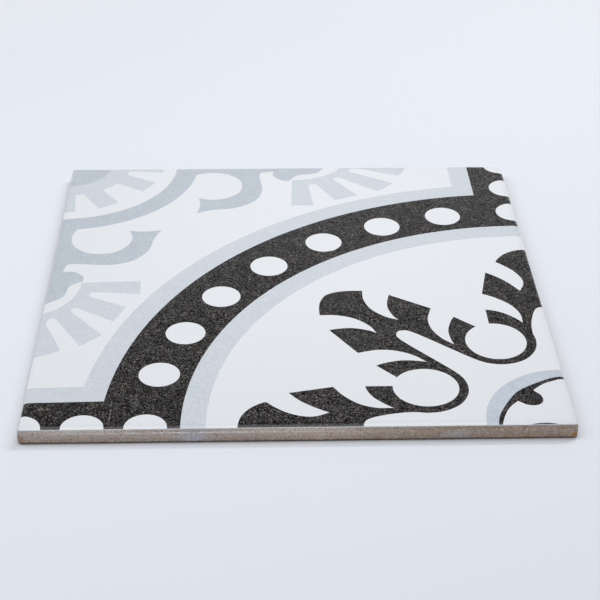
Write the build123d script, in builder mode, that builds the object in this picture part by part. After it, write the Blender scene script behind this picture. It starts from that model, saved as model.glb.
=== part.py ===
"""A square pressed ceramic tile with a cushion-edged glazed face and a keyed back.

Millimetres, +Z up. The tile lies on its back: the origin is the middle of the back, the glazed face is on
top, and +X and +Y run along its sides.
"""

import math
import os

from build123d import *

# Overall sizes
SIDE = 250.0  # over the widest part of the side walls
THICKNESS = 8.0  # from the lands of the back to the flat of the face
CORNER_RADIUS = 1.6  # round of the upright corners of the lower wall, seen from above

# The pressed edge, from the face down
CUSHION_WIDTH = 3.0  # strip along each edge where the face bows down
CUSHION_DROP = 0.75  # how far it has bowed down at the lip
LIP_RADIUS = 0.35  # round of the lip that the glaze runs over
UPPER_WALL_LEAN = 8.0  # degrees that the wall above the ledge leans in from upright
LEDGE_DEPTH = 2.7  # from the face down to the foot of the ledge
LEDGE_WIDTH = 0.4  # step left by the die, where the upper wall stands in from the lower
LEDGE_RISE = 0.2  # slope of that step
FOOT_BEVEL = 0.8  # bevel round the back

# The keyed back, a waffle of shallow pockets that grips the adhesive
BACK_BORDER = 8.0  # least width of the plain land round the pockets
KEY_SIZE = 29.0  # one pocket at its mouth, each way
RIB_WIDTH = 4.0  # land between two pockets
KEY_DEPTH = 0.6
KEY_CORNER_RADIUS = 2.0
KEY_DRAFT = 30.0  # degrees that a pocket's walls lean in, so that the die lets go

# Worked out from the sizes above
HALF_SIDE = SIDE / 2
LIP_HEIGHT = THICKNESS - CUSHION_DROP
LEDGE_FOOT = THICKNESS - LEDGE_DEPTH
LEDGE_TOP = LEDGE_FOOT + LEDGE_RISE
LEDGE_SLOPE = math.degrees(math.atan2(LEDGE_WIDTH, LEDGE_RISE))
UPPER_SIDE = SIDE - 2 * LEDGE_WIDTH
UPPER_CORNER_RADIUS = CORNER_RADIUS - LEDGE_WIDTH
LIP = UPPER_SIDE / 2 - (LIP_HEIGHT - LEDGE_TOP) * math.tan(math.radians(UPPER_WALL_LEAN))
FLAT = LIP - CUSHION_WIDTH
KEY_PITCH = KEY_SIZE + RIB_WIDTH
KEY_COUNT = int((SIDE - 2 * BACK_BORDER + RIB_WIDTH) // KEY_PITCH)

with BuildPart() as tile:
    # The lower body, with the bevel that clears the die round the back.
    with BuildSketch():
        RectangleRounded(SIDE, SIDE, CORNER_RADIUS)
    extrude(amount=LEDGE_FOOT)
    chamfer(tile.faces().sort_by(Axis.Z)[0].edges(), FOOT_BEVEL)

    # The ledge slopes in to the upper body, whose wall leans in up to the face.
    with BuildSketch(Plane.XY.offset(LEDGE_FOOT)):
        RectangleRounded(SIDE, SIDE, CORNER_RADIUS)
    extrude(amount=LEDGE_RISE, taper=LEDGE_SLOPE)
    with BuildSketch(Plane.XY.offset(LEDGE_TOP)):
        RectangleRounded(UPPER_SIDE, UPPER_SIDE, UPPER_CORNER_RADIUS)
    extrude(amount=THICKNESS - LEDGE_TOP, taper=UPPER_WALL_LEAN)

    # One crowned section runs both ways over the body, so the bowed edges meet in mitres.
    for plane in (Plane.XZ, Plane.YZ):
        with BuildSketch(plane):
            with BuildLine():
                bow = TangentArc((FLAT, THICKNESS), (LIP, LIP_HEIGHT), tangent=(1, 0))
                run_out = Line(bow @ 1, bow @ 1 + (bow % 1) * SIDE)
                Polyline(run_out @ 1, (SIDE, -SIDE), (0, -SIDE), (0, THICKNESS), (FLAT, THICKNESS))
            make_face()
            mirror(about=Plane.YZ)
        extrude(amount=SIDE, both=True, mode=Mode.INTERSECT)

    # The glaze runs over a small round at the lip.
    lip = tile.edges().filter_by(lambda e: abs(e.center().Z - LIP_HEIGHT) < CUSHION_DROP / 2)
    fillet(lip, LIP_RADIUS)

    # The pockets leave a border and a grid of ribs standing level as the face that beds down.
    with BuildSketch():
        with GridLocations(KEY_PITCH, KEY_PITCH, KEY_COUNT, KEY_COUNT):
            RectangleRounded(KEY_SIZE, KEY_SIZE, KEY_CORNER_RADIUS)
    extrude(amount=KEY_DEPTH, taper=KEY_DRAFT, mode=Mode.SUBTRACT)

tile.part.label = "tile"
os.makedirs("parts", exist_ok=True)
export_step(tile.part, "parts/tile.step")
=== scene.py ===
"""A printed ceramic tile lying flat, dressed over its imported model.

Metres, +Z up, in the model's own frame: the origin is the middle of the back. Drawing sizes are in
millimetres and are turned to metres where a mesh is made.
"""

import math

import bmesh
import bpy
from mathutils import Matrix, Vector
from mathutils.geometry import delaunay_2d_cdt, interpolate_bezier


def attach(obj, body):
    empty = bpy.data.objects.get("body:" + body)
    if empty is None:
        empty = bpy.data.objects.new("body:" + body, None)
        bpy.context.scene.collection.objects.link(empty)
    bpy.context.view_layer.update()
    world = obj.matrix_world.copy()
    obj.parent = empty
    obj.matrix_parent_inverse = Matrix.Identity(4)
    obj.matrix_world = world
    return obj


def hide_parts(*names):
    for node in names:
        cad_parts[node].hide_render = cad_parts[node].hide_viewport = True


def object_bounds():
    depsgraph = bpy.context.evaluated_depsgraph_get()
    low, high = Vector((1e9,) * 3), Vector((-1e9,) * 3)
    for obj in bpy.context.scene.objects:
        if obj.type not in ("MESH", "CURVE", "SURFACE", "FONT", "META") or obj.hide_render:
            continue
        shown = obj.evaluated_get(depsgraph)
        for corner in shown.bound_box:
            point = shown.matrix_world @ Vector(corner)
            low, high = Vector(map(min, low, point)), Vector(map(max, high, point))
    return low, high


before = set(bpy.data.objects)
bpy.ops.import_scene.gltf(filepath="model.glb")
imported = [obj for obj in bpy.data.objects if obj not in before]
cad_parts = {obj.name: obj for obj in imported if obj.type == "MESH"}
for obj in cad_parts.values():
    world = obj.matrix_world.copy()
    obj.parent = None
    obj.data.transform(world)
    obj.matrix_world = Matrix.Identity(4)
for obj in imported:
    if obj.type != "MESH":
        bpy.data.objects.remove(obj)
cad_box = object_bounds()

MM = 0.001

# The pressed edge, from the face down, as the model has it
SIDE, _, THICKNESS = (round((high - low) / MM, 3) for low, high in zip(*cad_box))
CORNER_RADIUS = 1.6  # of the lower wall, seen from above
CUSHION_WIDTH, CUSHION_DROP = 3.0, 0.75  # the strip along each edge where the face bows down
LIP_RADIUS = 0.35
WALL_LEAN = math.radians(8.0)  # of the wall above the ledge
LEDGE_DEPTH, LEDGE_WIDTH, LEDGE_RISE = 2.7, 0.4, 0.2
FOOT_BEVEL = 0.8

# Worked out from those, as half widths and heights
HALF = SIDE / 2
CORNER_CENTRE = HALF - CORNER_RADIUS  # every corner round of the section turns about this point
LIP_HEIGHT = THICKNESS - CUSHION_DROP
LEDGE_FOOT = THICKNESS - LEDGE_DEPTH
LEDGE_TOP = LEDGE_FOOT + LEDGE_RISE
LIP_HALF = HALF - LEDGE_WIDTH - (LIP_HEIGHT - LEDGE_TOP) * math.tan(WALL_LEAN)
FLAT_HALF = LIP_HALF - CUSHION_WIDTH
CUSHION_RADIUS = (CUSHION_WIDTH ** 2 + CUSHION_DROP ** 2) / (2 * CUSHION_DROP)
LIP_TILT = math.asin(CUSHION_WIDTH / CUSHION_RADIUS)  # how steeply the cushion falls at the lip
LIP_SETBACK = LIP_RADIUS * math.tan((math.pi / 2 - LIP_TILT - WALL_LEAN) / 2)

# The keyed back
KEY_SIZE, RIB_WIDTH, KEY_COUNT = 29.0, 4.0, 7
KEY_PITCH = KEY_SIZE + RIB_WIDTH
KEY_DEPTH, KEY_ROUND, KEY_DRAFT = 0.6, 2.0, math.radians(30.0)
KEY_NARROWING = 1 - 2 * KEY_DEPTH * math.tan(KEY_DRAFT) / KEY_SIZE  # of a pocket's roof against its mouth

# How finely the mesh is cut
CHORD = 0.9  # length of the short straight pieces of a drawn curve
ARC_ERROR = 0.015  # how far the straight pieces of an arc may stand off it
BEAD_SIDES = 48
CUSHION_STEPS, LIP_STEPS, KEY_ROUND_STEPS = 6, 4, 4
FLAT_EDGE = 0.5  # width of a strip inside the cushion that keeps the flat of the face level in shading
CREASE = math.radians(30)  # edges sharper than this aren't shaded smooth
SAME_POINT = 0.002  # points closer than this are one

# The layout for baking: places and scales as shares of the map
FACE, SIDES, BACK = range(3)
FACE_SCALE, FACE_MIDDLE = 0.8 / SIDE, 0.403
BACK_SCALE, BACK_MIDDLE = 0.185 / SIDE, 0.905
SIDE_STRIPS = (0.845, 0.885, 0.925, 0.965)  # upper edge of the front, right, back and left strip

# Every finish by its number: five inks under the glaze, and the bare body
WHITE, PALE, SOFT, GREY, BLACK, BODY, UNDERSIDE = range(7)
INKS = (WHITE, PALE, SOFT, GREY, BLACK)


# Helpers for node trees

def linear(code):
    """An sRGB hex colour as linear RGBA."""
    parts = [int(code[i:i + 2], 16) / 255 for i in (0, 2, 4)]
    return [c / 12.92 if c <= 0.04045 else ((c + 0.055) / 1.055) ** 2.4 for c in parts] + [1.0]


def add(tree, kind, inputs=None, **settings):
    """A new node with its settings and inputs. A node that is an input stands for its first live output."""
    node = tree.nodes.new(kind)
    for name, value in settings.items():
        setattr(node, name, value)
    for key, value in (inputs or {}).items():
        socket = node.inputs[key] if isinstance(key, int) else next(
            s for s in node.inputs if s.name == key and s.enabled)
        if isinstance(value, bpy.types.Node):
            value = next(s for s in value.outputs if s.enabled)
        if isinstance(value, bpy.types.NodeSocket):
            tree.links.new(value, socket)
        else:
            socket.default_value = value
    return node


# The printed design

# It is drawn from the middle of its large medallion, which lies near one corner of the tile: u runs along one
# side and v along the other, and most of it is the same with u and v swapped.
MEDALLION = (124.1, -123.41)
PRINT_STRETCH = 1.0028  # the print came out a little larger than it was drawn
OFF_EDGE = 6.0  # how far a printed shape that leaves the tile is drawn past its edge


def smooth(points):
    """A curve through the points, in short chords, without its last point. Two points are a straight line."""
    p = [Vector(q) for q in points]
    if len(p) == 2:
        return p[:1]
    p = [p[0] * 2 - p[1], *p, p[-1] * 2 - p[-2]]
    chain = []
    for a, b, c, d in zip(p, p[1:], p[2:], p[3:]):
        s, t, w = (math.sqrt((m - n).length) for m, n in ((b, a), (c, b), (d, c)))
        leave = (c - b) + t * ((b - a) / s - (c - a) / (s + t))
        arrive = (c - b) + t * ((d - c) / w - (d - b) / (t + w))
        steps = max(2, math.ceil((c - b).length / CHORD))
        chain += interpolate_bezier(b, b + leave / 3, c - arrive / 3, c, steps + 1)[:-1]
    return chain


def runs(start, *rest):
    """Lists of points, each starting where the one before ends. A corner stands between two lists."""
    out = []
    for points in rest:
        out.append([start, *points])
        start = points[-1]
    return out


def outline(lists):
    """The closed outline that the lists go round."""
    return [q for points in lists for q in smooth(points)]


def both_halves(lists):
    """A half outline that starts and ends on the diagonal, closed by its mirror image, smooth across it."""
    other = [[(v, u) for u, v in reversed(points)] for points in reversed(lists)]
    return [other[-1][:-1] + lists[0], *lists[1:-1], lists[-1] + other[0][1:], *other[1:-1]]


def swapped(loop):
    """The same outline with u and v swapped."""
    return [Vector((q.y, q.x)) for q in loop]


def moved(loop, shift):
    """The same outline, shifted."""
    return [q + shift for q in loop]


def arc(centre, radius, start, end):
    """Points along an arc, from one angle to the other, in degrees."""
    sweep = math.radians(end - start)
    count = max(6, math.ceil(abs(sweep) * radius / math.sqrt(8 * radius * ARC_ERROR)))
    angles = (math.radians(start) + sweep * i / count for i in range(count + 1))
    return [Vector((centre[0] + radius * math.cos(a), centre[1] + radius * math.sin(a))) for a in angles]


def oval(centre, radii):
    """An oval that lies along u and v."""
    along, across = radii
    return [Vector(centre) + Vector((q.x, q.y * across / along)) for q in arc((0, 0), along, 0, 360)[:-1]]


# The ring round the large medallion: pale, black and pale bands, and arms of the outer two along two sides
INNER_PALE, INNER_BLACK, OUTER_BLACK, OUTER_PALE = 165.1, 176.35, 212.35, 223.7
ARM_START, ARM_END = 190.0, 256.0
# How far each arm reaches from the axis at its start and its end, along u and along v: they run off true
BLACK_ARMS = ((19.6, 18.25), (19.5, 19.8))
PALE_ARMS = ((31.6, 29.6), (30.9, 31.0))

# White beads in the black band, as (distance, angle) from the medallion's middle, and half beads in the
# arms, as (u, v)
BEAD_RADIUS = 9.62
BEADS = (
    (191.7, 11.95), (191.6, 22.8), (192.4, 33.8), (192.2, 45.1), (192.2, 56.4), (191.4, 67.25), (191.7, 78.0),
)
HALF_BEADS = ((191.8, -0.7), (219.8, -0.8), (247.6, -1.0), (0.2, 191.8), (0.3, 219.6), (0.3, 247.3))

# The black leaf on the diagonal, with its curled stems and the leaf at the edge: one half of its outline,
# from the tip on the diagonal out to the edge and back to the slot in its heart
LEAF = runs(
    (107.4, 107.4),
    [(104.3, 109.3), (100.1, 110.7), (94.0, 111.3), (88.9, 111.2)],
    [(88.7, 103.0), (85.5, 94.1), (78.5, 86.9), (72.7, 84.2)],
    [(75.0, 87.9), (77.2, 96.0), (76.5, 103.6), (75.6, 107.1)],
    [(55.8, 94.3)],
    [(58.1, 85.0), (57.4, 76.5), (53.1, 67.7), (47.6, 62.2)],
    [(48.6, 65.9), (49.2, 74.0), (47.1, 82.4), (45.2, 86.4)],
    [(35.7, 77.6)],
    [(28.6, 80.0)],
    [(28.7, 92.6)],
    [(25.0, 91.8), (19.9, 89.2), (14.9, 84.6), (11.8, 80.7)],
    [(12.0, 88.3), (15.2, 96.2), (22.3, 103.5), (28.5, 107.3)],
    [(24.1, 127.9)],
    [(18.2, 123.0), (13.4, 117.2), (8.8, 109.9)],
    [(6.2, 116.2), (6.3, 121.8), (9.7, 129.7), (15.1, 136.1), (17.3, 138.1)],
    [(17.0, 139.5), (12.9, 145.3), (7.1, 149.3), (0.0, 151.0), (-3.0, 151.1)],
    [(-3.0, 95.7)],
    [(2.2, 94.1), (4.3, 91.5), (7.5, 81.0), (8.4, 71.5), (7.8, 64.9), (9.3, 57.2), (13.8, 50.4),
     (20.1, 46.4), (27.0, 45.1), (33.5, 46.3), (38.1, 48.8), (68.7, 74.3), (71.2, 74.8), (73.85, 73.85)],
)
EYE, EYE_RADII = (27.3, 64.7), (14.7, 15.3)  # the white oval inside a curled stem

# The small medallion: a soft blue ring, and a fine black arc with a drop hanging in it, one half of its
# outline. Both sit a little off the large medallion's middle.
SMALL_RING, SMALL_RING_MIDDLE = 40.6, Vector((-0.3, -0.2))
DROP_MIDDLE = Vector((0.1, 0.4))
DROP = runs(
    (22.9, 22.9),
    [(20.0, 25.4), (5.0, 33.5), (-5.0, 35.3)],
    [(-5.0, 33.4)],
    [(0.0, 32.7), (10.0, 28.7), (15.6, 23.9)],
    [(14.4, 22.2), (12.9, 20.4), (12.2, 16.0), (13.5, 13.5)],
)
# The tip of the shape that goes on across the joint, on the next tile
NEXT_TIP = runs(
    (7.5, -0.9),
    [(11.0, -0.25), (14.0, -0.1), (17.0, -0.2), (20.3, -0.7)],
    [(20.3, -3.0)],
    [(7.5, -3.0)],
    [(7.5, -0.9)],
)

# The rosette in the far corner: a disc, a sunburst with rays, and a ring
ROSETTE = Vector((248.2, 248.2))
ROSETTE_DISC, SUNBURST, RAY_ROOT = 22.5, 33.6, 25.0
ROSETTE_RING_INNER, ROSETTE_RING_OUTER = 60.5, 72.6
ROSETTE_SWEEP = (175, 275)  # angles that its arcs run over, a little past the tile's edges
# Rays as (angle, how far off the middle they run, end, half width at the root, half width at the end)
RAYS = (
    (0.0, 0.0, 52.6, 4.2, 6.5),
    (32.0, -3.5, 51.5, 5.6, 6.2),
    (58.0, 3.5, 51.5, 5.6, 6.2),
    (90.0, 0.0, 52.6, 4.2, 6.5),
)

# The grey scroll beside the rosette, with the bud at its foot, and the pale half fan below it
SCROLL = runs(
    (252.0, 182.0),
    [(238.4, 176.4)],
    [(240.1, 171.6), (240.6, 166.0), (239.0, 159.1), (234.7, 153.7), (229.2, 150.6), (218.3, 150.9),
     (213.3, 154.4), (209.9, 159.4), (208.5, 164.5), (208.6, 169.0), (210.4, 174.0)],
    [(202.0, 173.2), (193.1, 174.6)],
    [(195.5, 169.3), (197.1, 163.5), (197.8, 158.0), (199.5, 152.1), (206.6, 142.9), (218.0, 138.8),
     (239.6, 139.6), (241.0, 136.9), (241.6, 131.9)],
    [(238.5, 132.3), (235.6, 131.8), (230.9, 127.2), (230.4, 124.8), (230.8, 122.8)],
    [(235.9, 119.4), (237.3, 117.0), (238.5, 110.0), (240.0, 107.0), (246.0, 102.5), (252.0, 99.2)],
    [(252.0, 182.0)],
)
FAN = runs(
    (231.0, 121.4),
    [(201.2, 122.6)],
    [(200.9, 110.1)],
    [(224.6, 112.4)],
    [(226.2, 111.0), (226.3, 109.3), (225.0, 107.5)],
    [(207.0, 98.2)],
    [(212.4, 85.0)],
    [(231.2, 97.6)],
    [(233.4, 97.2), (234.1, 95.4), (233.5, 93.7)],
    [(225.2, 83.7), (217.1, 73.3)],
    [(221.9, 68.2), (226.8, 64.1)],
    [(240.8, 88.0)],
    [(243.1, 88.3), (244.7, 86.3), (245.0, 82.4)],
    [(240.9, 73.5), (235.6, 60.3)],
    [(241.5, 56.9), (252.0, 53.2)],
    [(252.0, 92.0)],
    [(246.5, 93.4), (242.0, 96.0), (235.7, 103.8), (232.0, 113.4), (231.0, 121.4)],
)


def quarter(radius):
    """The part of a disc round the medallion's middle that lies on the tile."""
    past = math.degrees(math.asin(OFF_EDGE / radius))
    return arc((0, 0), radius, -past, 90 + past) + [Vector((-OFF_EDGE, -OFF_EDGE))]


def rosette_quarter(radius):
    """The part of a disc round the rosette's middle that lies on the tile."""
    return arc(ROSETTE, radius, *ROSETTE_SWEEP) + [ROSETTE + Vector((OFF_EDGE, OFF_EDGE))]


def ray(angle, off, end, root_half, end_half):
    """One ray of the rosette, pointing in from the far corner."""
    turn = Matrix.Rotation(math.radians(180 + angle), 2)
    corners = ((RAY_ROOT, off - root_half), (end, off - end_half),
               (end, off + end_half), (RAY_ROOT, off + root_half))
    return [ROSETTE + turn @ Vector(q) for q in corners]


def arm(reach_at_start, reach_at_end):
    """An arm of a band, along u."""
    return [Vector(q) for q in ((ARM_START, -OFF_EDGE), (ARM_END, -OFF_EDGE),
                                (ARM_END, reach_at_end), (ARM_START, reach_at_start))]


def printed_shapes():
    """Every printed shape as (ink, outline in u and v), from the lowest to the one printed last."""
    shapes = [(GREY, rosette_quarter(ROSETTE_RING_OUTER)), (WHITE, rosette_quarter(ROSETTE_RING_INNER))]
    shapes += [(PALE, ray(*sizes)) for sizes in RAYS]
    shapes += [(PALE, rosette_quarter(SUNBURST)), (GREY, rosette_quarter(ROSETTE_DISC))]
    for ink, drawing in ((GREY, SCROLL), (PALE, FAN)):
        loop = outline(drawing)
        shapes += [(ink, loop), (ink, swapped(loop))]
    for ink, radius, arms in ((PALE, OUTER_PALE, PALE_ARMS), (BLACK, OUTER_BLACK, BLACK_ARMS)):
        along_u, along_v = (arm(*reach) for reach in arms)
        shapes += [(ink, quarter(radius)), (ink, along_u), (ink, swapped(along_v))]
    shapes += [(PALE, quarter(INNER_BLACK)), (WHITE, quarter(INNER_PALE))]
    shapes += [(WHITE, loop) for loop in bead_outlines()]
    shapes.append((BLACK, outline(both_halves(LEAF))))
    eye = oval(EYE, EYE_RADII)
    shapes += [(WHITE, eye), (WHITE, swapped(eye))]
    drop = both_halves(DROP)
    heart = smooth(drop[0]) + [Vector(drop[0][-1]), Vector((-OFF_EDGE, -OFF_EDGE))]
    shapes.append((SOFT, moved(quarter(SMALL_RING), SMALL_RING_MIDDLE)))
    shapes.append((WHITE, moved(heart, DROP_MIDDLE)))
    shapes.append((BLACK, moved(outline(drop), DROP_MIDDLE)))
    shapes.append((BLACK, outline(NEXT_TIP)))
    return shapes


# Node trees that make meshes

def new_tree(name, **sizes):
    """A geometry tree with named sizes as inputs, and the outputs of its input node."""
    tree = bpy.data.node_groups.new(name, "GeometryNodeTree")
    face = tree.interface
    face.new_socket("Geometry", in_out="INPUT", socket_type="NodeSocketGeometry")
    face.new_socket("Geometry", in_out="OUTPUT", socket_type="NodeSocketGeometry")
    for label, value in sizes.items():
        kind = "NodeSocketInt" if isinstance(value, int) else "NodeSocketFloat"
        face.new_socket(label, in_out="INPUT", socket_type=kind).default_value = value
    return tree, add(tree, "NodeGroupInput").outputs


def made(tree, mesh, **sizes):
    """The mesh that the tree makes from a mesh, as a plain mesh."""
    piece = bpy.data.objects.new(tree.name, mesh)
    bpy.context.scene.collection.objects.link(piece)
    modifier = piece.modifiers.new(tree.name, "NODES")
    modifier.node_group = tree
    for item in tree.interface.items_tree:
        if item.name in sizes:
            modifier[item.identifier] = sizes[item.name]
    ready = piece.evaluated_get(bpy.context.evaluated_depsgraph_get())
    result = bpy.data.meshes.new_from_object(ready)
    bpy.data.objects.remove(piece)
    return result


def bead_outlines():
    """Outlines of the beads in u and v, from a tree that sets one disc on each point of the bead row."""
    tree, given = new_tree("bead_row", Radius=1.0, Sides=3)
    disc = add(tree, "GeometryNodeMeshCircle", {
        "Vertices": given["Sides"], "Radius": given["Radius"]}, fill_type="NGON")
    row = add(tree, "GeometryNodeInstanceOnPoints", {"Points": given["Geometry"], "Instance": disc})
    row = add(tree, "GeometryNodeRealizeInstances", {"Geometry": row})
    inked = add(tree, "GeometryNodeSetMaterial", {"Geometry": row, "Material": finishes[WHITE]})
    add(tree, "NodeGroupOutput", {"Geometry": inked})

    points = [(r * math.cos(math.radians(a)), r * math.sin(math.radians(a)), 0) for r, a in BEADS]
    points += [(u, v, 0) for u, v in HALF_BEADS]
    start = bpy.data.meshes.new("bead_points")
    start.from_pydata(points, [], [])
    beads = made(tree, start, Radius=BEAD_RADIUS, Sides=BEAD_SIDES)
    return [[beads.vertices[i].co.xy for i in face.vertices] for face in beads.polygons]


def key_pockets():
    """The grid of pockets in the back: open at the mouth, with leaning walls and a flat roof."""
    tree, given = new_tree("key_pockets", Size=1.0, Pitch=1.0, Depth=1.0, Round=1.0, Narrowing=1.0, Count=1)
    mouth = add(tree, "GeometryNodeCurvePrimitiveQuadrilateral", {
        "Width": given["Size"], "Height": given["Size"]}, mode="RECTANGLE")
    mouth = add(tree, "GeometryNodeFilletCurve", {
        "Curve": mouth, "Count": KEY_ROUND_STEPS, "Radius": given["Round"]}, mode="POLY")
    sheet = add(tree, "GeometryNodeFillCurve", {"Curve": mouth}, mode="NGONS")
    pocket = add(tree, "GeometryNodeExtrudeMesh", {"Mesh": sheet, "Offset Scale": given["Depth"]})
    roof = add(tree, "GeometryNodeScaleElements", {
        "Geometry": pocket, "Selection": pocket.outputs["Top"], "Scale": given["Narrowing"]})
    turned = add(tree, "GeometryNodeFlipFaces", {"Mesh": roof})
    gaps = add(tree, "ShaderNodeMath", {0: given["Count"], 1: 1.0}, operation="SUBTRACT")
    span = add(tree, "ShaderNodeMath", {0: given["Pitch"], 1: gaps}, operation="MULTIPLY")
    grid = add(tree, "GeometryNodeMeshGrid", {
        "Size X": span, "Size Y": span, "Vertices X": given["Count"], "Vertices Y": given["Count"]})
    pockets = add(tree, "GeometryNodeInstanceOnPoints", {"Points": grid, "Instance": turned})
    pockets = add(tree, "GeometryNodeRealizeInstances", {"Geometry": pockets})
    fired = add(tree, "GeometryNodeSetMaterial", {"Geometry": pockets, "Material": finishes[UNDERSIDE]})
    add(tree, "NodeGroupOutput", {"Geometry": fired})
    return made(tree, bpy.data.meshes.new("key_start"), Size=KEY_SIZE * MM, Pitch=KEY_PITCH * MM,
                Depth=KEY_DEPTH * MM, Round=KEY_ROUND * MM, Narrowing=KEY_NARROWING, Count=KEY_COUNT)


def pressed_face(sheet):
    """The printed sheet bowed down along its edges as the die pressed it, with each ink's finish."""
    tree, given = new_tree("pressed_face", Height=1.0, Flat=1.0, Bow=1.0)
    place = add(tree, "ShaderNodeSeparateXYZ", {0: add(tree, "GeometryNodeInputPosition")}).outputs
    off_x, off_y = (add(tree, "ShaderNodeMath", {0: place[axis]}, operation="ABSOLUTE") for axis in "XY")
    widest = add(tree, "ShaderNodeMath", {0: off_x, 1: off_y}, operation="MAXIMUM")
    past = add(tree, "ShaderNodeMath", {0: widest, 1: given["Flat"]}, operation="SUBTRACT")
    past = add(tree, "ShaderNodeMath", {0: past, 1: 0.0}, operation="MAXIMUM")
    # The bow is part of a circle of the given radius that leaves the flat level.
    past_squared = add(tree, "ShaderNodeMath", {0: past, 1: past}, operation="MULTIPLY")
    bow_squared = add(tree, "ShaderNodeMath", {0: given["Bow"], 1: given["Bow"]}, operation="MULTIPLY")
    level = add(tree, "ShaderNodeMath", {0: bow_squared, 1: past_squared}, operation="SUBTRACT")
    level = add(tree, "ShaderNodeMath", {0: level}, operation="SQRT")
    drop = add(tree, "ShaderNodeMath", {0: level, 1: given["Bow"]}, operation="SUBTRACT")
    height = add(tree, "ShaderNodeMath", {0: given["Height"], 1: drop}, operation="ADD")
    face = add(tree, "GeometryNodeSetPosition", {
        "Geometry": given["Geometry"], "Offset": add(tree, "ShaderNodeCombineXYZ", {"Z": height})})
    face = add(tree, "GeometryNodeRealizeInstances", {"Geometry": face})
    ink = add(tree, "GeometryNodeInputNamedAttribute", {"Name": "ink"}, data_type="INT")
    for number in INKS:
        here = add(tree, "FunctionNodeCompare", {"A": ink, "B": number}, data_type="INT", operation="EQUAL")
        face = add(tree, "GeometryNodeSetMaterial", {
            "Geometry": face, "Selection": here, "Material": finishes[number]})
    add(tree, "NodeGroupOutput", {"Geometry": face})
    return made(tree, sheet, Height=THICKNESS * MM, Flat=FLAT_HALF * MM, Bow=CUSHION_RADIUS * MM)


# The tile's mesh

def partition(loops, lines):
    """Triangles that fill the loops, cut along all loops and lines: (points, triangles, loops each is in)."""
    points, edges, faces = [], [], []
    for loop in loops:
        turn = sum(a.x * b.y - b.x * a.y for a, b in zip(loop, loop[1:] + loop[:1]))
        faces.append(list(range(len(points), len(points) + len(loop))))
        points += loop if turn > 0 else loop[::-1]
    for line in lines:
        edges += [(i, i + 1) for i in range(len(points), len(points) + len(line) - 1)]
        points += line
    only_inside, tolerance = 1, 1e-4
    points, _, triangles, _, _, inside = delaunay_2d_cdt(points, edges, faces, only_inside, tolerance)
    return points, triangles, inside


def rounded_square(half):
    """The outline of the tile at one level of its section, anticlockwise from one corner."""
    loop = []
    for turn in range(4):
        centre = Matrix.Rotation(turn * math.pi / 2, 2) @ Vector((CORNER_CENTRE, CORNER_CENTRE))
        loop += arc(centre, half - CORNER_CENTRE, turn * 90, turn * 90 + 90)
    return loop


def printed_sheet(half):
    """The flat sheet of the face, cut along the print and along the lines where the die bows it."""
    shapes = printed_shapes()
    loops = [rounded_square(half)]
    for _, loop in shapes:
        loops.append([Vector((MEDALLION[0] - PRINT_STRETCH * q.x, MEDALLION[1] + PRINT_STRETCH * q.y))
                      for q in loop])
    inmost = FLAT_HALF - FLAT_EDGE
    corners = [Vector(q) for q in ((1, 1), (-1, 1), (-1, -1), (1, -1))]
    rings = [inmost] + [FLAT_HALF + CUSHION_WIDTH * i / CUSHION_STEPS for i in range(CUSHION_STEPS)]
    lines = [[corner * ring for corner in corners + corners[:1]] for ring in rings]
    mitre = CORNER_CENTRE + (half - CORNER_CENTRE) * math.sqrt(0.5)
    lines += [[corner * inmost, corner * mitre] for corner in corners]
    points, triangles, inside = partition(loops, lines)

    sheet = bpy.data.meshes.new("printed_sheet")
    kept = [i for i, held in enumerate(inside) if 0 in held]
    sheet.from_pydata([(p.x * MM, p.y * MM, 0) for p in points], [], [triangles[i] for i in kept])
    # The first loop is the tile's own outline, and bare of print it is white.
    inks = [WHITE] + [ink for ink, _ in shapes]
    ink = sheet.attributes.new("ink", "INT", "FACE")
    ink.data.foreach_set("value", [inks[max(inside[i])] for i in kept])
    return sheet


def edge_section():
    """The section of the edge from the face down, as (half width, height), and where the bare body starts."""
    centre = Vector((LIP_HALF, LIP_HEIGHT))
    centre += LIP_SETBACK * Vector((-math.cos(LIP_TILT), math.sin(LIP_TILT)))
    centre -= LIP_RADIUS * Vector((math.sin(LIP_TILT), math.cos(LIP_TILT)))
    start, end = math.pi / 2 - LIP_TILT, WALL_LEAN
    turns = [start + (end - start) * i / LIP_STEPS for i in range(LIP_STEPS + 1)]
    lip = [tuple(centre + LIP_RADIUS * Vector((math.cos(a), math.sin(a)))) for a in turns]
    wall = [(HALF - LEDGE_WIDTH, LEDGE_TOP), (HALF, LEDGE_FOOT), (HALF, FOOT_BEVEL), (HALF - FOOT_BEVEL, 0.0)]
    return lip + wall, LIP_STEPS


def rims(mesh):
    """The open edges of a mesh as closed chains of points, each running as its faces do."""
    follow = {}
    for edge in mesh.edges:
        if edge.is_boundary:
            loop = edge.link_loops[0]
            follow[loop.vert] = loop.link_loop_next.vert
    chains = []
    while follow:
        chain = [next(iter(follow))]
        after = follow.pop(chain[0])
        while after is not chain[0]:
            chain.append(after)
            after = follow.pop(after)
        chains.append(chain)
    return chains


def take_in(mesh, zone, part, number):
    """Adds a part to the mesh, in a zone of the layout, with its own finishes."""
    start = len(mesh.faces)
    names = [finish.name if finish else "" for finish in part.materials]
    numbers = {finish.name: i for i, finish in enumerate(finishes)}
    mesh.from_mesh(part)
    mesh.faces.ensure_lookup_table()
    for face in mesh.faces[start:]:
        face[zone] = number
        face.material_index = numbers[names[face.material_index]]


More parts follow.
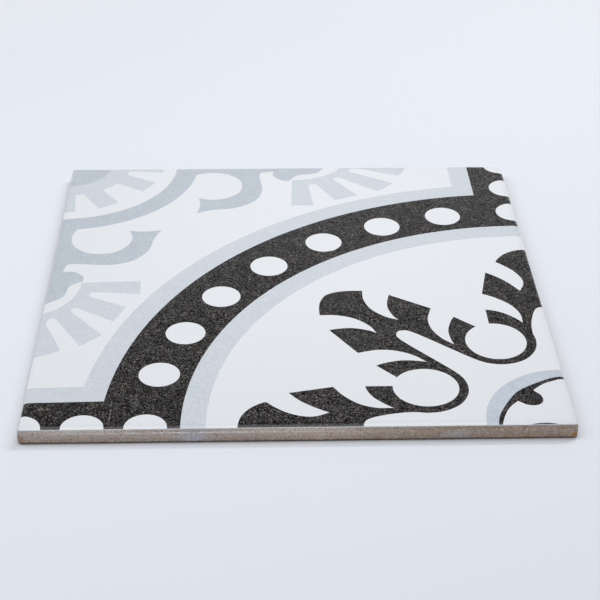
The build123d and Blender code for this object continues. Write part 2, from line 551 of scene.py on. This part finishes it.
def add_walls(mesh, zone, section, bare):
    """Lip and walls, level by level down from the rim of the face. Returns the foot's outline."""
    ring, = rims(mesh)
    corner = CORNER_CENTRE * MM
    outward = []
    for v in ring:
        core = Vector((max(-corner, min(corner, v.co.x)), max(-corner, min(corner, v.co.y)), 0))
        away = (Vector((v.co.x, v.co.y, 0)) - core).normalized()
        outward.append((core, away, v.co.z - section[0][1] * MM))
    levels = [ring]
    for i, (half, height) in enumerate(section[1:], 1):
        level = []
        for core, away, rise in outward:
            # The rim of the face lies a little higher at the corners, and the lip follows it.
            up = height * MM + (rise if i <= bare else 0)
            level.append(mesh.verts.new(core + away * (half - CORNER_CENTRE) * MM + Vector((0, 0, up))))
        levels.append(level)
    for i, (upper, lower) in enumerate(zip(levels, levels[1:])):
        for j in range(len(ring)):
            k = (j + 1) % len(ring)
            face = mesh.faces.new((upper[k], upper[j], lower[j], lower[k]))
            face[zone] = SIDES
            # The lip takes the white glaze; below it the body is bare.
            face.material_index = WHITE if i < bare else BODY
    return [v.co.xy / MM for v in levels[-1]]


def back_land(foot, pockets):
    """The flat of the back inside the foot's outline, with the pockets' mouths cut out of it."""
    mouths = bmesh.new()
    mouths.from_mesh(pockets)
    loops = [foot] + [[v.co.xy / MM for v in chain] for chain in rims(mouths)]
    mouths.free()
    points, triangles, inside = partition(loops, [])
    land = bpy.data.meshes.new("back_land")
    land.from_pydata([(p.x * MM, p.y * MM, 0) for p in points], [],
                     [t[::-1] for t, held in zip(triangles, inside) if held == [0]])
    land.materials.append(finishes[UNDERSIDE])
    return land


def unwrap(mesh, zone, section):
    """A flat layout for baking: the face takes most of it, beside the back and a strip for each side."""
    uv = mesh.loops.layers.uv.new("OFBake")
    lip_top = section[0][1]
    for face in mesh.faces:
        middle = face.calc_center_median()
        across = abs(middle.x) > abs(middle.y)
        strip = (1 if middle.x > 0 else 3) if across else (0 if middle.y < 0 else 2)
        for loop in face.loops:
            x, y, z = loop.vert.co / MM
            if face[zone] == FACE:
                at = (FACE_MIDDLE + x * FACE_SCALE, FACE_MIDDLE + y * FACE_SCALE)
            elif face[zone] == BACK:
                at = (BACK_MIDDLE - x * BACK_SCALE, BACK_MIDDLE + y * BACK_SCALE)
            else:
                depth = min(0.0, lip_top - z)
                for upper, lower in zip(section, section[1:]):
                    part = max(0.0, min(1.0, (upper[1] - z) / (upper[1] - lower[1])))
                    depth += part * math.dist(upper, lower)
                along = (y if across else x) * (1 if strip in (0, 1) else -1)
                at = (FACE_MIDDLE + along * FACE_SCALE, SIDE_STRIPS[strip] - depth * FACE_SCALE)
            loop[uv].uv = at


def tile_mesh():
    """The whole tile as one closed mesh: face, lip, walls, and the keyed back."""
    section, bare = edge_section()
    mesh = bmesh.new()
    zone = mesh.faces.layers.int.new("zone")
    take_in(mesh, zone, pressed_face(printed_sheet(section[0][0])), FACE)
    foot = add_walls(mesh, zone, section, bare)
    pockets = key_pockets()
    take_in(mesh, zone, back_land(foot, pockets), BACK)
    take_in(mesh, zone, pockets, BACK)
    bmesh.ops.remove_doubles(mesh, verts=mesh.verts, dist=SAME_POINT * MM)
    bmesh.ops.delete(mesh, geom=[v for v in mesh.verts if not v.link_faces], context="VERTS")
    bmesh.ops.recalc_face_normals(mesh, faces=mesh.faces)
    for face in mesh.faces:
        face.smooth = True
    for edge in mesh.edges:
        edge.smooth = edge.calc_face_angle(0) < CREASE
    unwrap(mesh, zone, section)

    result = bpy.data.meshes.new("glazed_tile")
    mesh.to_mesh(result)
    mesh.free()
    for finish in finishes:
        result.materials.append(finish)
    return result


# Finishes

GLAZE_ROUGHNESS, GLAZE_IOR = 0.2, 1.5
GRAIN_SIZE = 0.5  # the real grains are about 0.2 mm, too fine to show
BLOTCH_SIZE, BLOTCH_RANGE = 6.0, (0.35, 0.65)  # a range is the part of the clouds' values that shows
CRUMB_SIZE, CRUMB_RANGE = 1.1, (0.42, 0.68)
DUST = "A8A39E"

CLAY_DARK, CLAY_PALE, CLAY_MOTTLE = "AC9D90", "DBCEC3", 3.5
CLAY_LAYERS = (1.0, 1.0, 3.0)  # pressing flattens the mottling
CLAY_BROWN, CLAY_BROWN_SHARE = "96795E", 0.5
CLAY_BROWN_START, CLAY_BROWN_END = 15.0, 70.0
STREAK_SIZE, STREAK_RANGE = 6.0, (0.4, 0.6)
FILLER_SIZE = 0.6  # coarser than in a real body, where the grains would not show
FILLER_PALE, FILLER_DARK, FILLER_RARENESS = "E2DBD5", "75695F", 5.0
CLAY_BUMP, CLAY_BUMP_STRENGTH = 0.08, 0.6
CLAY_ROUGHNESS, CLAY_SPECULAR = 0.9, 0.1

# Spots are (middle, reach, strength), in millimetres.
FRONT = LEFT = -HALF
ALL_ROUND = 1.0e5

# A fine scratch and some dusty scuffs in the black, near one corner
BLACK_MARKS = (
    ((-84.5, -113.5, THICKNESS), (0.5, 13.0, 4.0), 0.9),
    ((-73.5, -105.0, THICKNESS), (3.0, 6.5, 4.0), 0.5),
    ((-116.0, -109.7, THICKNESS), (2.2, 1.6, 4.0), 0.9),
    ((-115.2, -112.9, THICKNESS), (1.8, 1.2, 4.0), 0.5),
    ((-112.9, -109.9, THICKNESS), (1.6, 1.2, 4.0), 0.5),
    ((-107.6, -111.7, THICKNESS), (1.6, 1.4, 4.0), 0.4),
)
# Stains and painted light are (colour, how evenly they lie, spots).
WALL_STAINS_AND_PAINTED_LIGHT = (
    # A warmer stretch of the front wall
    ("D8C4B0", 1.0, (((8.0, FRONT, 5.0), (34.0, 30.0, 20.0), 0.6),)),
    # A browner foot all round, and painted shade on the front left corner: darker brown where the rounded
    # corner turns away from the light
    ("94775F", 0.7, (
        ((0.0, 0.0, 1.0), (ALL_ROUND, ALL_ROUND, 4.5), 0.55),
        ((LEFT, -124.0, 3.0), (4.0, 5.0, 5.0), 1.2))),
    # Grey cement dust: two smears on the front wall. All along the left wall the same grey is painted shade,
    # the cool grey of a side out of the light
    ("C0C2CA", 0.8, (
        ((-47.0, FRONT, 3.4), (12.0, 4.0, 4.4), 1.2),
        ((70.0, FRONT, 3.0), (12.0, 4.0, 3.4), 0.6),
        ((LEFT, 0.0, 6.0), (3.0, 170.0, 4.0), 2.5))),
    # Two pale stretches of the front wall, below the lip
    ("E6DDD6", 0.7, (
        ((-98.0, FRONT, 6.4), (34.0, 4.0, 1.6), 0.9),
        ((-2.0, FRONT, 6.4), (34.0, 4.0, 1.6), 0.5))),
    # Painted highlight on the ledge, in pale specks: lighter where the upward ledge catches the light from
    # above
    ("E4E2E0", 0.2, (((-50.0, 0.0, 5.5), (90.0, ALL_ROUND, 0.6), 1.0),)),
    # Painted shade in the bevel all round: dark where the contact shadow falls under the foot
    ("2B2420", 1.0, (((0.0, 0.0, 0.1), (ALL_ROUND, ALL_ROUND, 1.2), 2.2),)),
    # A rust-coloured spot at the right end of the front wall
    ("A8741A", 1.0, (((123.1, FRONT, 2.3), (1.6, 2.0, 1.5), 2.0),)),
)
BACK_STAINS = (
    # Kiln wash left on the lands
    ("D8D2CB", 0.6, (((0.0, 0.0, -0.1), (ALL_ROUND, ALL_ROUND, 0.5), 0.9),)),
)


def new_finish(name):
    """A new material, its empty node tree, and the place on the piece that its patterns go by."""
    finish = bpy.data.materials.new(name)
    finish.use_nodes = True
    tree = finish.node_tree
    tree.nodes.clear()
    return finish, tree, add(tree, "ShaderNodeTexCoord").outputs["Object"]


def patches(tree, where, spots):
    """How much of the soft spots lies at each place."""
    total = 0.0
    for middle, reach, strength in spots:
        away = add(tree, "ShaderNodeVectorMath", {
            0: where, 1: [c * MM for c in middle]}, operation="SUBTRACT")
        away = add(tree, "ShaderNodeVectorMath", {0: away, 1: [r * MM for r in reach]}, operation="DIVIDE")
        away = add(tree, "ShaderNodeVectorMath", {0: away}, operation="LENGTH").outputs["Value"]
        here = add(tree, "ShaderNodeMapRange", {
            "Value": away, "From Min": 1.0, "From Max": 0.0, "To Min": 0.0, "To Max": strength},
            interpolation_type="SMOOTHSTEP")
        total = add(tree, "ShaderNodeMath", {0: here, 1: total}, operation="ADD")
    return total


def glazed(name, ground, grain, rareness, unevenness, tilt, marks=()):
    """A print under one satin glaze: grains of a second tone, each at its own slight tilt, and marks."""
    finish, tree, where = new_finish(name)
    cells = add(tree, "ShaderNodeTexVoronoi", {"Vector": where, "Scale": 1 / (GRAIN_SIZE * MM)})
    sugar = cells.outputs["Color"]
    amount = add(tree, "ShaderNodeMath", {0: sugar, 1: rareness}, operation="POWER")
    # The ink took up unevenly, in blotches.
    blotches = add(tree, "ShaderNodeTexNoise", {
        "Vector": where, "Scale": 1 / (BLOTCH_SIZE * MM), "Detail": 2.0})
    blotches = add(tree, "ShaderNodeMapRange", {
        "Value": blotches, "From Min": BLOTCH_RANGE[0], "From Max": BLOTCH_RANGE[1],
        "To Min": 1 - unevenness, "To Max": 1 + unevenness})
    amount = add(tree, "ShaderNodeMath", {0: amount, 1: blotches}, operation="MULTIPLY")
    tone = add(tree, "ShaderNodeMix", {
        "Factor": amount, "A": linear(ground), "B": linear(grain)}, data_type="RGBA")
    if marks:
        crumbs = add(tree, "ShaderNodeTexNoise", {
            "Vector": where, "Scale": 1 / (CRUMB_SIZE * MM), "Detail": 3.0})
        crumbs = add(tree, "ShaderNodeMapRange", {
            "Value": crumbs, "From Min": CRUMB_RANGE[0], "From Max": CRUMB_RANGE[1]})
        dust = add(tree, "ShaderNodeMath", {0: patches(tree, where, marks), 1: crumbs}, operation="MULTIPLY")
        tone = add(tree, "ShaderNodeMix", {"Factor": dust, "A": tone, "B": linear(DUST)}, data_type="RGBA")
    lean = add(tree, "ShaderNodeVectorMath", {0: sugar, 1: (0.5, 0.5, 0.5)}, operation="SUBTRACT")
    normal = add(tree, "ShaderNodeNewGeometry").outputs["Normal"]
    facing = add(tree, "ShaderNodeVectorMath", {
        0: lean, 1: (tilt, tilt, tilt), 2: normal}, operation="MULTIPLY_ADD")
    facing = add(tree, "ShaderNodeVectorMath", {0: facing}, operation="NORMALIZE")
    glaze = add(tree, "ShaderNodeBsdfPrincipled", {
        "Base Color": tone, "Normal": facing, "Roughness": GLAZE_ROUGHNESS, "IOR": GLAZE_IOR})
    add(tree, "ShaderNodeOutputMaterial", {"Surface": glaze})
    return finish


def fired_body(name, stains_and_painted_light):
    """Pressed and fired clay: dry, matt, warm grey-brown and mottled, with pale and dark grains in it."""
    finish, tree, where = new_finish(name)
    layers = add(tree, "ShaderNodeVectorMath", {0: where, 1: CLAY_LAYERS}, operation="MULTIPLY")
    mottle = add(tree, "ShaderNodeTexNoise", {
        "Vector": layers, "Scale": 1 / (CLAY_MOTTLE * MM), "Detail": 4.0})
    tone = add(tree, "ShaderNodeMix", {
        "Factor": mottle, "A": linear(CLAY_DARK), "B": linear(CLAY_PALE)}, data_type="RGBA")
    # Browner and darker towards one end.
    along = add(tree, "ShaderNodeSeparateXYZ", {0: where}).outputs["X"]
    browner = add(tree, "ShaderNodeMapRange", {
        "Value": along, "From Min": CLAY_BROWN_START * MM, "From Max": CLAY_BROWN_END * MM,
        "To Min": 0.0, "To Max": CLAY_BROWN_SHARE})
    tone = add(tree, "ShaderNodeMix", {
        "Factor": browner, "A": tone, "B": linear(CLAY_BROWN)}, data_type="RGBA")
    # Stains and painted light lie unevenly, in streaks.
    streaks = add(tree, "ShaderNodeTexNoise", {
        "Vector": where, "Scale": 1 / (STREAK_SIZE * MM), "Detail": 2.0})
    for colour, evenness, spots in stains_and_painted_light:
        cover = add(tree, "ShaderNodeMapRange", {
            "Value": streaks, "From Min": STREAK_RANGE[0], "From Max": STREAK_RANGE[1],
            "To Min": evenness, "To Max": 1.0})
        cover = add(tree, "ShaderNodeMath", {0: patches(tree, where, spots), 1: cover}, operation="MULTIPLY")
        tone = add(tree, "ShaderNodeMix", {"Factor": cover, "A": tone, "B": linear(colour)}, data_type="RGBA")
    cells = add(tree, "ShaderNodeTexVoronoi", {"Vector": where, "Scale": 1 / (FILLER_SIZE * MM)})
    pale = cells.outputs["Color"]
    dark = add(tree, "ShaderNodeMath", {0: 1.0, 1: pale}, operation="SUBTRACT")
    for colour, filler in ((FILLER_PALE, pale), (FILLER_DARK, dark)):
        share = add(tree, "ShaderNodeMath", {0: filler, 1: FILLER_RARENESS}, operation="POWER")
        tone = add(tree, "ShaderNodeMix", {"Factor": share, "A": tone, "B": linear(colour)}, data_type="RGBA")
    bump = add(tree, "ShaderNodeBump", {
        "Height": mottle, "Distance": CLAY_BUMP * MM, "Strength": CLAY_BUMP_STRENGTH})
    clay = add(tree, "ShaderNodeBsdfPrincipled", {
        "Base Color": tone, "Normal": bump, "Roughness": CLAY_ROUGHNESS, "Specular IOR Level": CLAY_SPECULAR})
    add(tree, "ShaderNodeOutputMaterial", {"Surface": clay})
    return finish


finishes = [
    # The white ground fires smooth and bright, and gives soft clear reflections.
    glazed("white_satin_glaze", "E8EAEB", "EAECED", rareness=1.0, unevenness=0.1, tilt=0.01),
    # The cool greys are nearly flat in tone, with a faint sugary grain.
    glazed("pale_grey_print", "C8CFD6", "DADFE2", rareness=1.0, unevenness=0.15, tilt=0.1),
    glazed("soft_blue_print", "BAC4CD", "D3DAE1", rareness=1.0, unevenness=0.15, tilt=0.12),
    glazed("blue_grey_print", "B3BCC3", "CBD2D8", rareness=1.0, unevenness=0.15, tilt=0.12),
    # The black is a thick ink that fires rough, so it sparkles like fine sugar and shows its wear.
    glazed("black_print", "070403", "8A827C", rareness=6.5, unevenness=0.6, tilt=0.26, marks=BLACK_MARKS),
    # Bare clay, soiled where the tile was handled and stored, with painted shade along the foot, on the left
    # wall and at the front left corner, and a painted highlight on the ledge.
    fired_body("fired_clay_side", WALL_STAINS_AND_PAINTED_LIGHT),
    # The same clay, clean in the pockets and chalky on the lands.
    fired_body("fired_clay_back", BACK_STAINS),
]

tile = bpy.data.objects.new("glazed_tile", tile_mesh())
bpy.context.scene.collection.objects.link(tile)
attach(tile, "root")
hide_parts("tile")


# Floor, light and camera

FLOOR_HALF, FLOOR_HEIGHT = 12.0, -0.00005  # just clear of the tile's back
PAPER, PAPER_ROUGHNESS = "EAEDF2", 0.9
PAPER_EVEN_START, PAPER_EVEN_END = 0.3, 0.6  # distances from the tile over which the paper turns even

# Directions are unit vectors, so a height in them is the sine of an elevation.
PATCH_TOWARDS = (0.05, 0.825, 0.555)
PATCH_RIM, PATCH_FULL = 0.977, 0.993  # cosines of the angle from its middle
PATCH_LIGHT, ROOM_LIGHT, CEILING_LIGHT = 1.32, 0.42, 0.06
CEILING_START, CEILING_FULL = 0.535, 0.61
BACKDROP_TOP, BACKDROP_FULL = 0.3, 0.15
ROOM_COLOUR = "FFFFFF"

# Lamps as (name, size, place, watts, whether the glaze mirrors it), all shining straight down
LAMPS = (
    ("softbox", (1.8, 0.8), (-0.52, -0.02, 1.1), 11.9, True),
    ("key", (0.9, 0.24), (0.72, 0.6, 1.1), 9.0, False),
)
LAMP_COLOUR = "F8FAFF"

SENSOR, LENS, CLIP_START = 36.0, 90.362, 0.01
CAMERA_PLACE = (-0.01712, -0.65809, 0.41343)
CAMERA_TURN = (57.58, -0.3776, -1.5925)  # degrees about X, Y and Z


def seen(tree):
    """1 for the rays that show a backdrop to the view, straight or mirrored, and 0 for those that light."""
    ray_kind = add(tree, "ShaderNodeLightPath").outputs
    shown = add(tree, "ShaderNodeMath", {
        0: ray_kind["Is Camera Ray"], 1: ray_kind["Is Glossy Ray"]}, operation="MAXIMUM")
    return add(tree, "ShaderNodeMath", {0: shown, 1: ray_kind["Is Transmission Ray"]}, operation="MAXIMUM")


def backdrop_paper():
    """Matt paper. Far from the tile, where the lamps no longer reach, the view sees it evenly pale."""
    finish, tree, where = new_finish("backdrop_paper")
    near = add(tree, "ShaderNodeBsdfPrincipled", {"Base Color": linear(PAPER), "Roughness": PAPER_ROUGHNESS})
    far = add(tree, "ShaderNodeEmission", {"Color": linear(PAPER), "Strength": 1.0})
    distance = add(tree, "ShaderNodeVectorMath", {0: where}, operation="LENGTH").outputs["Value"]
    even = add(tree, "ShaderNodeMapRange", {
        "Value": distance, "From Min": PAPER_EVEN_START, "From Max": PAPER_EVEN_END},
        interpolation_type="SMOOTHSTEP")
    share = add(tree, "ShaderNodeMath", {0: seen(tree), 1: even}, operation="MULTIPLY")
    mixed = add(tree, "ShaderNodeMixShader", {0: share, 1: near, 2: far})
    add(tree, "ShaderNodeOutputMaterial", {"Surface": mixed})
    return finish


def studio():
    """The room: a soft round patch of light on the wall behind the tile, dimmer all round, dark above."""
    world = bpy.data.worlds.new("studio")
    world.use_nodes = True
    tree = world.node_tree
    tree.nodes.clear()
    look = add(tree, "ShaderNodeTexCoord").outputs["Generated"]
    height = add(tree, "ShaderNodeSeparateXYZ", {0: look}).outputs["Z"]
    nearness = add(tree, "ShaderNodeVectorMath", {0: look, 1: PATCH_TOWARDS}, operation="DOT_PRODUCT")
    wall = add(tree, "ShaderNodeMapRange", {
        "Value": nearness.outputs["Value"], "From Min": PATCH_RIM, "From Max": PATCH_FULL,
        "To Min": ROOM_LIGHT, "To Max": PATCH_LIGHT})
    strength = add(tree, "ShaderNodeMapRange", {
        "Value": height, "From Min": CEILING_START, "From Max": CEILING_FULL,
        "To Min": wall, "To Max": CEILING_LIGHT})
    # Just above the floor's edge the view sees a backdrop as pale as the floor.
    low = add(tree, "ShaderNodeMapRange", {
        "Value": height, "From Min": BACKDROP_TOP, "From Max": BACKDROP_FULL})
    backdrop = add(tree, "ShaderNodeMath", {0: seen(tree), 1: low}, operation="MULTIPLY")
    strength = add(tree, "ShaderNodeMix", {"Factor": backdrop, "A": strength, "B": 1.0})
    colour = add(tree, "ShaderNodeMix", {
        "Factor": backdrop, "A": linear(ROOM_COLOUR), "B": linear(PAPER)}, data_type="RGBA")
    room = add(tree, "ShaderNodeBackground", {"Strength": strength, "Color": colour})
    add(tree, "ShaderNodeOutputWorld", {"Surface": room})
    return world


floor_mesh = bpy.data.meshes.new("studio_floor")
floor_corners = ((-FLOOR_HALF, -FLOOR_HALF), (FLOOR_HALF, -FLOOR_HALF),
                 (FLOOR_HALF, FLOOR_HALF), (-FLOOR_HALF, FLOOR_HALF))
floor_mesh.from_pydata([(x, y, FLOOR_HEIGHT) for x, y in floor_corners], [], [(0, 1, 2, 3)])
floor_mesh.materials.append(backdrop_paper())
floor = bpy.data.objects.new("studio_floor", floor_mesh)
bpy.context.scene.collection.objects.link(floor)

bpy.context.scene.world = studio()

# A wide softbox overhead, and a smaller lamp behind and to the right, which draws the shadow along the front
# and is flagged off from the glaze.
for name, size, place, power, mirrored in LAMPS:
    light = bpy.data.lights.new(name, "AREA")
    light.shape = "RECTANGLE"
    light.size, light.size_y = size
    light.energy = power
    light.color = linear(LAMP_COLOUR)[:3]
    lamp = bpy.data.objects.new(name, light)
    bpy.context.scene.collection.objects.link(lamp)
    lamp.location = place
    lamp.visible_glossy = mirrored

lens = bpy.data.cameras.new("camera")
lens.sensor_width, lens.lens = SENSOR, LENS
lens.clip_start = CLIP_START
camera = bpy.data.objects.new("camera", lens)
bpy.context.scene.collection.objects.link(camera)
camera.location = CAMERA_PLACE
camera.rotation_euler = [math.radians(turn) for turn in CAMERA_TURN]
bpy.context.scene.camera = camera

bpy.context.scene.view_settings.view_transform = "Standard"
